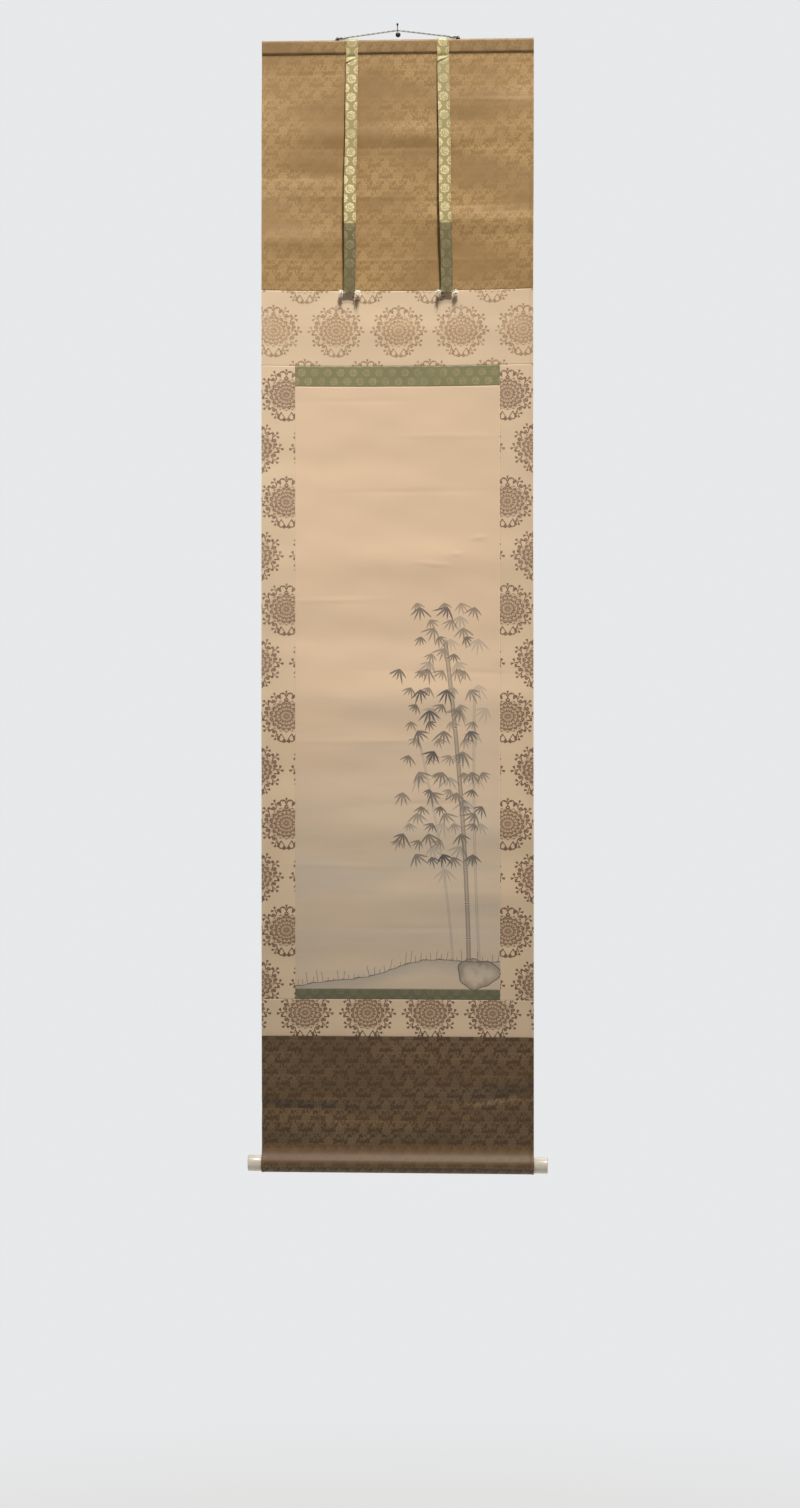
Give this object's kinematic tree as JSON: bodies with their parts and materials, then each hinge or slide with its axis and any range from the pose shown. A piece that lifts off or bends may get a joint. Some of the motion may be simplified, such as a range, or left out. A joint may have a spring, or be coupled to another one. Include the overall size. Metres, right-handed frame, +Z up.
{
  "type": "hanging scroll with wall hook",
  "caption": "Tall mounted scroll with a painted silk panel, damask and brocade borders, wrapped rods, hanging strips, and a cord over a small wall hook.",
  "frame": {"origin": "centre of the wall hook's flange, on the wall", "axes": "+Z up along the scroll, +Y into the wall, +X to the viewer's right"},
  "size_m": [0.4956, 0.0381, 1.9007],
  "materials": {
    "painted_silk": "ink and colour on aged silk, matt",
    "green_brocade": "woven brocade with a soft gold sheen",
    "pale_damask": "woven silk damask, soft sheen",
    "brown_silk": "figured silk, soft sheen",
    "rod_wood": "plain planed wood",
    "knob": "ivory white, satin polish",
    "white_thread": "loose silk thread",
    "cord_silk": "braided cord in light and dark threads",
    "dark_metal": "dark metal, worn satin"
  },
  "bodies": {
    "root": {"painting": "painted_silk", "accent_strip_upper": "green_brocade", "accent_strip_lower": "green_brocade", "damask_band_top": "pale_damask", "damask_band_bottom": "pale_damask", "damask_side_left": "pale_damask", "damask_side_right": "pale_damask", "upper_panel": "brown_silk", "lower_panel": "brown_silk", "streamer_left": "green_brocade", "streamer_right": "green_brocade", "top_rod": "rod_wood", "bottom_rod": "rod_wood", "rod_knob_left": "knob", "rod_knob_right": "knob", "tuft_left_outer": "white_thread", "tuft_left_inner": "white_thread", "tuft_right_outer": "white_thread", "tuft_right_inner": "white_thread", "eyelet_left": "dark_metal", "eyelet_right": "dark_metal", "ring_left": "dark_metal", "ring_right": "dark_metal", "cord_knot_left": "cord_silk", "cord_knot_right": "cord_silk", "hanging_cord": "cord_silk", "wall_hook": "dark_metal"}
  },
  "joints": []
}
